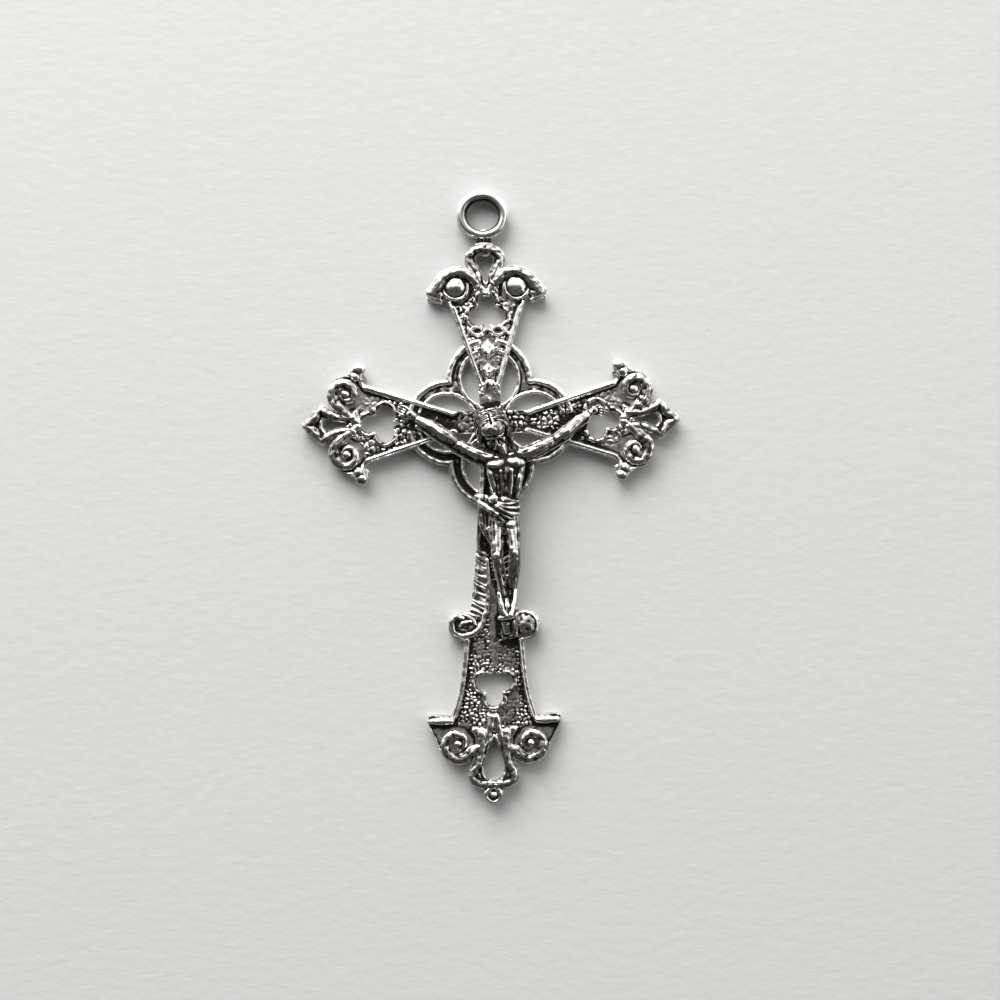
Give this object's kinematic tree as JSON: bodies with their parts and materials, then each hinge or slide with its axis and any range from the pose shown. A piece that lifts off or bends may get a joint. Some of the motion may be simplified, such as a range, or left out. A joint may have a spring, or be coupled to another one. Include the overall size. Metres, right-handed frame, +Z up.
{
  "type": "crucifix pendant",
  "caption": "Openwork crucifix pendant in antiqued silver, with scrolled limb ends, a petalled halo, a figure and a fixed hanging ring.",
  "frame": {"origin": "centre of the hanging ring", "axes": "+Z up along the length, towards the ring; +X to the viewer's right; the front faces -Y and the flat back faces +Y"},
  "size_m": [0.0305, 0.0044, 0.0499],
  "materials": {
    "antiqued_silver": "antiqued silver: dark oxide in the recesses, brushed satin on the plate",
    "polished_silver": "silver polished on the high spots, with oxide left in the hollows",
    "ring_silver": "smooth polished silver, worn bright by the chain"
  },
  "bodies": {
    "root": {"cross_plate": "antiqued_silver", "finial_top": "antiqued_silver", "trefoil_rim_top": "polished_silver", "volute_top_a": "polished_silver", "volute_top_b": "polished_silver", "finial_right": "antiqued_silver", "trefoil_rim_right": "polished_silver", "volute_right_a": "polished_silver", "volute_right_b": "polished_silver", "finial_bottom": "antiqued_silver", "trefoil_rim_bottom": "polished_silver", "volute_bottom_a": "polished_silver", "volute_bottom_b": "polished_silver", "finial_left": "antiqued_silver", "trefoil_rim_left": "polished_silver", "volute_left_a": "polished_silver", "volute_left_b": "polished_silver", "halo_upper_left": "antiqued_silver", "halo_upper_right": "antiqued_silver", "halo_lower_left": "antiqued_silver", "halo_lower_right": "antiqued_silver", "leaf_scroll_left": "polished_silver", "leaf_scroll_right": "polished_silver", "tip_bead": "polished_silver", "diamond_boss_upper": "polished_silver", "diamond_boss_lower": "polished_silver", "round_boss": "polished_silver", "corpus": "polished_silver", "nail_left_hand": "polished_silver", "nail_right_hand": "polished_silver", "nail_feet": "polished_silver", "ring_neck": "ring_silver", "hanging_ring": "ring_silver"}
  },
  "joints": []
}
